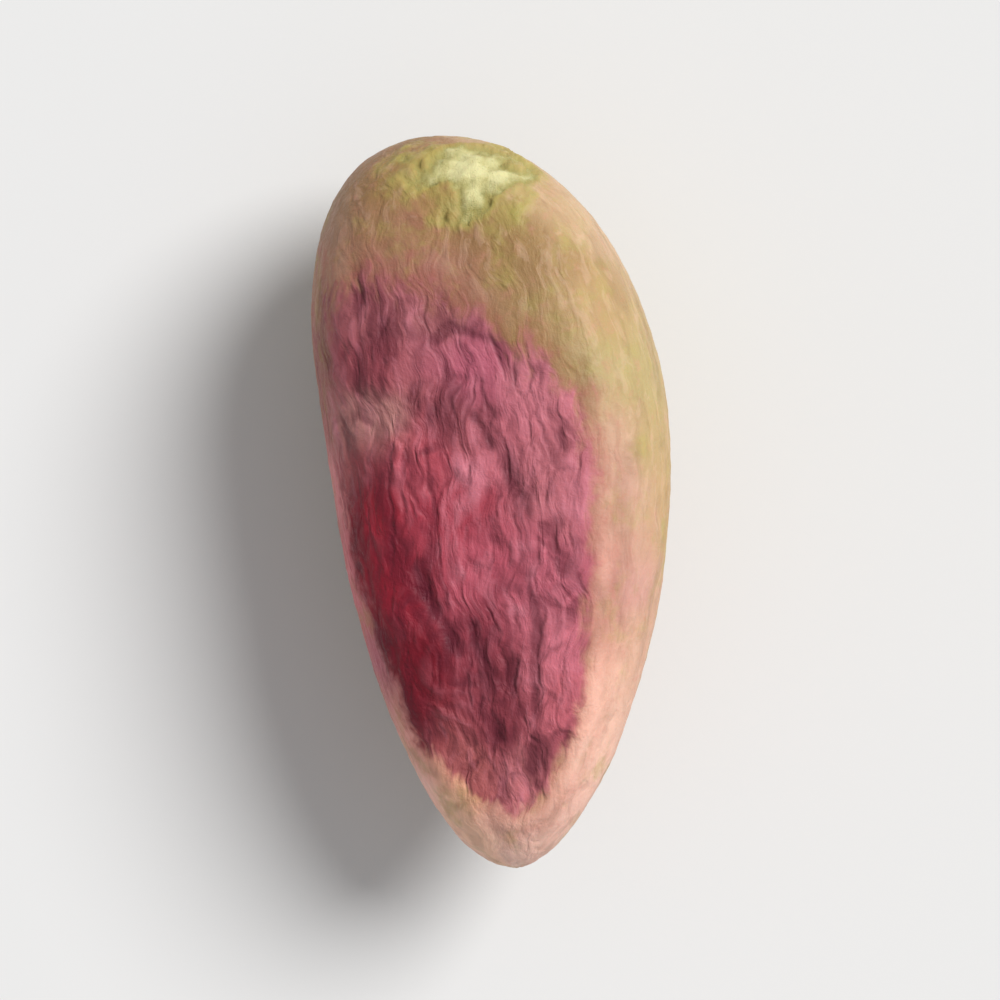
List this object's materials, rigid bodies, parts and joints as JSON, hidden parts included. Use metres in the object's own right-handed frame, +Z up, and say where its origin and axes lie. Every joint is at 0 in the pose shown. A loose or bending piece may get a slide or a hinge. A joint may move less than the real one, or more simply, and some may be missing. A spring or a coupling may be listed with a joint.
{
  "type": "pistachio kernel",
  "caption": "Shelled pistachio kernel in its thin skin, an elongated seed with a blunt end, a narrow tip and one broad, slightly dished face, lying on a small flat spot.",
  "frame": {"origin": "bottom centre of the kernel's box, on the surface that it rests on", "axes": "+Y along the kernel from its narrow tip to its blunt end, +Z up, so that the broad purple face looks up and leans a little towards -X"},
  "size_m": [0.009, 0.019, 0.0083],
  "materials": {
    "kernel_skin": "dry papery seed skin, satin: purple and crimson on the broad face, olive tan and pinkish beige round it"
  },
  "bodies": {
    "root": {"pistachio_kernel": "kernel_skin"}
  },
  "joints": []
}
